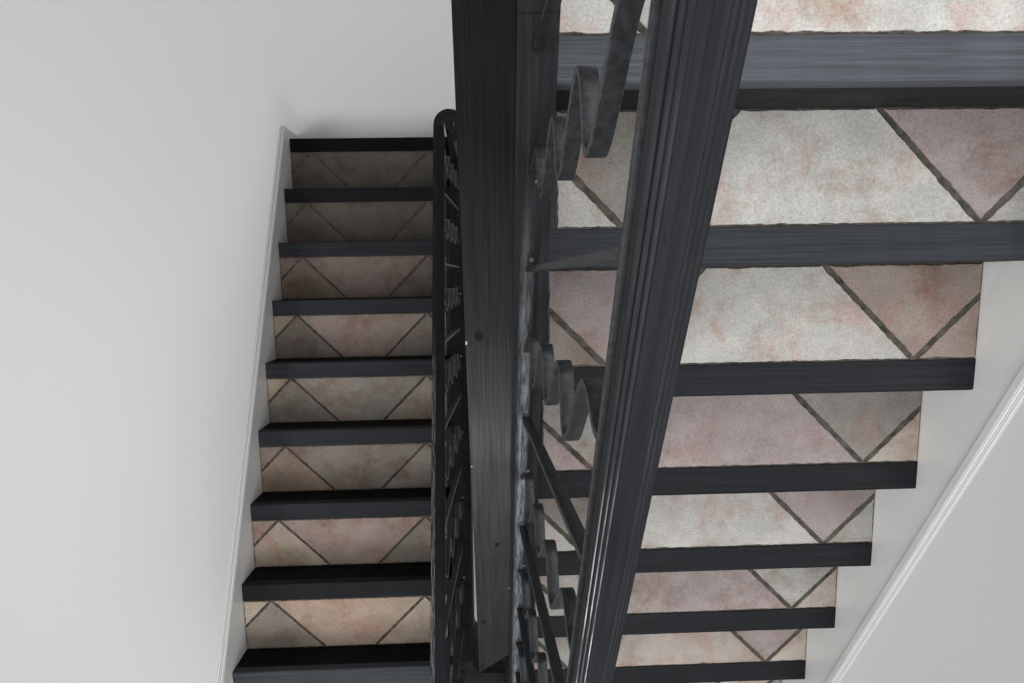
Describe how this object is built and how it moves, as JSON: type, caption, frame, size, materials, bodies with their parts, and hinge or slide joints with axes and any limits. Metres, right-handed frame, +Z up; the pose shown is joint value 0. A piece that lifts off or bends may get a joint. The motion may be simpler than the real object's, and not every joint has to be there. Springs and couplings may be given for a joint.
{
  "type": "half-turn escape stair",
  "caption": "Indoor half-turn escape stair with tiled treads, black timber nosings and strings, half landing and an iron balustrade of waved bars.",
  "frame": {"origin": "under the foot of the lower flight at ground level, in the middle of its clear width and of the foot of its plastered underside", "axes": "+X across from the lower flight to the upper flight, +Y the way the upper flight climbs, +Z up"},
  "size_m": [1.904, 3.49, 3.959],
  "materials": {
    "floor_tile": "matt, stone-look, dark sunken joints",
    "black_timber": "satin black paint, grain showing",
    "rail_wood": "gloss black paint over moulded timber",
    "white_board": "white gloss paint",
    "white_plaster": "matt white painted plaster",
    "wrought_iron": "semi-gloss black paint"
  },
  "bodies": {
    "root": {"lower_tread_1": "floor_tile", "lower_tread_2": "floor_tile", "lower_tread_3": "floor_tile", "lower_tread_4": "floor_tile", "lower_tread_5": "floor_tile", "lower_tread_6": "floor_tile", "lower_tread_7": "floor_tile", "lower_tread_8": "floor_tile", "upper_tread_1": "floor_tile", "upper_tread_2": "floor_tile", "upper_tread_3": "floor_tile", "upper_tread_4": "floor_tile", "upper_tread_5": "floor_tile", "upper_tread_6": "floor_tile", "upper_tread_7": "floor_tile", "lower_nosings": "black_timber", "upper_nosings": "black_timber", "lower_risers": "black_timber", "upper_risers": "black_timber", "half_landing_nosing": "black_timber", "top_landing_nosing": "black_timber", "lower_string": "black_timber", "upper_string": "black_timber", "well_beam": "black_timber", "string_turn": "black_timber", "top_landing_edge": "black_timber", "lower_wall_string": "white_board", "upper_wall_string": "white_board", "half_landing_skirting": "white_board", "top_landing_skirting": "white_board", "lower_soffit": "white_plaster", "upper_soffit": "white_plaster", "half_landing_slab": "white_plaster", "half_landing_floor": "floor_tile", "top_landing_slab": "white_plaster", "top_landing_floor": "floor_tile", "lower_iron_frame": "wrought_iron", "upper_iron_frame": "wrought_iron", "landing_iron_frame": "wrought_iron", "lower_waved_bars": "wrought_iron", "upper_waved_bars": "wrought_iron", "landing_waved_bars": "wrought_iron", "lower_handrail": "rail_wood", "upper_handrail": "rail_wood", "landing_handrail": "rail_wood", "handrail_turn": "rail_wood", "handrail_volute": "rail_wood", "volute_post": "black_timber", "half_landing_posts": "wrought_iron"}
  },
  "joints": []
}
